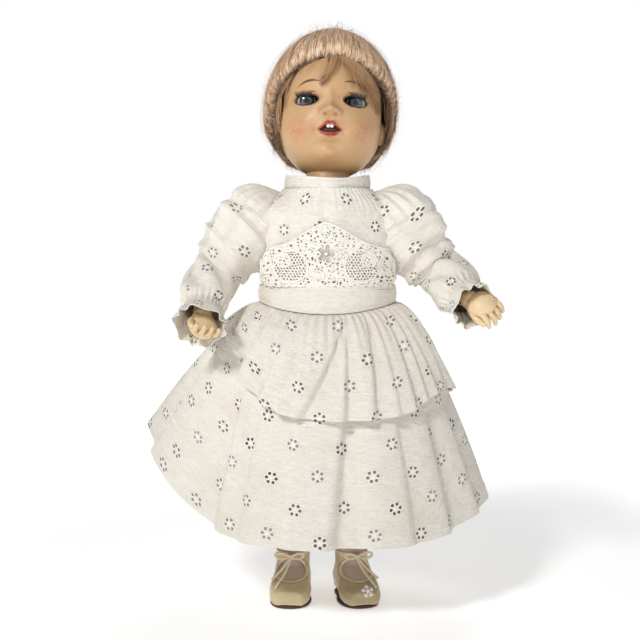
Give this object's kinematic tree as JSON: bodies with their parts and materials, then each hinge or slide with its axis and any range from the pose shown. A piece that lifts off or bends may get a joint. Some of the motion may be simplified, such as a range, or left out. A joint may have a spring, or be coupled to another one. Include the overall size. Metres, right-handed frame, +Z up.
{
  "type": "dressed composition doll",
  "caption": "Strung composition doll with sleeping glass eyes and a mohair wig, in a white eyelet cotton frock with lace panel, knit socks and tied kid shoes.",
  "frame": {"origin": "on the floor under the centre of the bounding box", "axes": "+Z up, the doll faces -Y, its own left is +X"},
  "size_m": [0.3146, 0.2128, 0.5009],
  "materials": {
    "face_lacquer": "honey flesh lacquer over composition, blushed cheeks",
    "body_paint": "flesh paint over composition, rubbed",
    "ball_wood": "bare turned wood",
    "mohair": "dull blond mohair",
    "card": "pressed card",
    "eye_glass": "blown glass, blue-grey iris",
    "enamel": "white glaze",
    "plaster": "cast plaster",
    "lead": "dull lead",
    "wire": "drawn iron wire",
    "elastic": "cotton-covered elastic",
    "cotton": "white cotton with eyelet flowers",
    "lace": "cream guipure lace",
    "pearl": "pearl bead",
    "button": "shell button",
    "sock": "mauve-grey cotton knit",
    "kid": "beige kid, worn",
    "sole": "dark brown leather",
    "lace_ribbon": "cream cotton lace"
  },
  "bodies": {
    "torso": {"torso_front": "body_paint", "torso_back": "body_paint", "arm_elastic": "elastic", "leg_elastic": "elastic", "bodice": "cotton", "stand_collar": "cotton", "lace_panel": "lace", "waistband": "cotton", "skirt": "cotton", "overskirt": "cotton", "back_button_1": "button", "back_button_2": "button", "back_button_3": "button", "back_button_4": "button"},
    "neck": {"neck_button": "ball_wood", "neck_hook": "wire"},
    "head": {"head_shell": "face_lacquer", "pate": "card", "wig": "mohair", "upper_teeth": "enamel", "eye_plaster_right": "plaster", "eye_plaster_left": "plaster"},
    "eyes": {"eye_right": "eye_glass", "eye_left": "eye_glass", "eye_rocker": "wire", "eye_weight": "lead"},
    "shoulder_right": {"shoulder_ball_right": "ball_wood"},
    "upper_arm_right": {"upper_arm_right": "body_paint", "upper_sleeve_right": "cotton"},
    "forearm_right": {"elbow_ball_right": "ball_wood", "forearm_right": "body_paint", "lower_sleeve_right": "cotton"},
    "hand_right": {"hand_right": "body_paint"},
    "shoulder_left": {"shoulder_ball_left": "ball_wood"},
    "upper_arm_left": {"upper_arm_left": "body_paint", "upper_sleeve_left": "cotton"},
    "forearm_left": {"elbow_ball_left": "ball_wood", "forearm_left": "body_paint", "lower_sleeve_left": "cotton"},
    "hand_left": {"hand_left": "body_paint"},
    "hip_right": {"hip_ball_right": "ball_wood"},
    "thigh_right": {"thigh_right": "body_paint"},
    "shin_right": {"knee_ball_right": "ball_wood", "lower_leg_right": "body_paint", "sock_right": "sock", "shoe_upper_right": "kid", "shoe_sole_right": "sole", "shoe_tie_right": "lace_ribbon"},
    "hip_left": {"hip_ball_left": "ball_wood"},
    "thigh_left": {"thigh_left": "body_paint"},
    "shin_left": {"knee_ball_left": "ball_wood", "lower_leg_left": "body_paint", "sock_left": "sock", "shoe_upper_left": "kid", "shoe_sole_left": "sole", "shoe_tie_left": "lace_ribbon", "pearl_flower_left": "pearl"}
  },
  "joints": [
    {"name": "neck_turn", "type": "hinge", "parent": "torso", "child": "neck", "pos_m": [0.0061, 0.00007, 0.364], "axis": [0, 0, 1], "range_deg": [-60, 60], "deforming": ["leg_elastic"]},
    {"name": "neck_nod", "type": "hinge", "parent": "neck", "child": "head", "pos_m": [0.0061, 0.00007, 0.364], "axis": [1, 0, 0], "range_deg": [-6, 8]},
    {"name": "eye_rock", "type": "hinge", "parent": "head", "child": "eyes", "pos_m": [0.00898, -0.02018, 0.43292], "axis": [0.999, -0.0053, -0.0433], "range_deg": [0, 50]},
    {"name": "shoulder_swing_right", "type": "hinge", "parent": "torso", "child": "shoulder_right", "pos_m": [-0.0509, 0.00007, 0.336], "axis": [-1, 0, 0], "range_deg": [-30, 90], "deforming": ["bodice", "upper_sleeve_right", "lower_sleeve_right"]},
    {"name": "shoulder_lift_right", "type": "hinge", "parent": "shoulder_right", "child": "upper_arm_right", "pos_m": [-0.0509, 0.00007, 0.336], "axis": [0, 1, 0], "range_deg": [-4, 50], "deforming": ["bodice", "upper_sleeve_right", "lower_sleeve_right"]},
    {"name": "elbow_bend_right", "type": "hinge", "parent": "upper_arm_right", "child": "forearm_right", "pos_m": [-0.09475, -0.00391, 0.28683], "axis": [-0.6713, -0.3899, 0.6304], "range_deg": [-50, 22], "deforming": ["upper_sleeve_right", "lower_sleeve_right"]},
    {"name": "wrist_turn_right", "type": "hinge", "parent": "forearm_right", "child": "hand_right", "pos_m": [-0.09895, -0.04588, 0.25641], "axis": [-0.0807, -0.807, -0.5851], "range_deg": [-40, 40]},
    {"name": "shoulder_swing_left", "type": "hinge", "parent": "torso", "child": "shoulder_left", "pos_m": [0.0631, 0.00007, 0.336], "axis": [-1, 0, 0], "range_deg": [-30, 90], "deforming": ["bodice", "upper_sleeve_left", "lower_sleeve_left"]},
    {"name": "shoulder_lift_left", "type": "hinge", "parent": "shoulder_left", "child": "upper_arm_left", "pos_m": [0.0631, 0.00007, 0.336], "axis": [0, -1, 0], "range_deg": [-4, 50], "deforming": ["bodice", "upper_sleeve_left", "lower_sleeve_left"]},
    {"name": "elbow_bend_left", "type": "hinge", "parent": "upper_arm_left", "child": "forearm_left", "pos_m": [0.10619, -0.00397, 0.28617], "axis": [-0.7566, -0.0053, -0.6539], "range_deg": [-50, 22], "deforming": ["upper_sleeve_left", "lower_sleeve_left"]},
    {"name": "wrist_turn_left", "type": "hinge", "parent": "forearm_left", "child": "hand_left", "pos_m": [0.12195, -0.05019, 0.26831], "axis": [0.3031, -0.8889, -0.3435], "range_deg": [-40, 40]},
    {"name": "hip_swing_right", "type": "hinge", "parent": "torso", "child": "hip_right", "pos_m": [-0.0209, 0.00007, 0.2], "axis": [-1, 0, 0], "range_deg": [-8, 75], "deforming": ["skirt", "overskirt", "leg_elastic"]},
    {"name": "hip_spread_right", "type": "hinge", "parent": "hip_right", "child": "thigh_right", "pos_m": [-0.0209, 0.00007, 0.2], "axis": [0, 1, 0], "range_deg": [-2, 12], "deforming": ["skirt", "overskirt"]},
    {"name": "knee_bend_right", "type": "hinge", "parent": "thigh_right", "child": "shin_right", "pos_m": [-0.0249, 0.00007, 0.11], "axis": [1, 0, 0], "range_deg": [0, 80], "deforming": ["skirt", "overskirt"]},
    {"name": "hip_swing_left", "type": "hinge", "parent": "torso", "child": "hip_left", "pos_m": [0.0331, 0.00007, 0.2], "axis": [-1, 0, 0], "range_deg": [-8, 75], "deforming": ["skirt", "overskirt", "leg_elastic"]},
    {"name": "hip_spread_left", "type": "hinge", "parent": "hip_left", "child": "thigh_left", "pos_m": [0.0331, 0.00007, 0.2], "axis": [0, -1, 0], "range_deg": [-2, 12], "deforming": ["skirt", "overskirt"]},
    {"name": "knee_bend_left", "type": "hinge", "parent": "thigh_left", "child": "shin_left", "pos_m": [0.0291, 0.00007, 0.11], "axis": [1, 0, 0], "range_deg": [0, 80], "deforming": ["skirt", "overskirt"]}
  ]
}
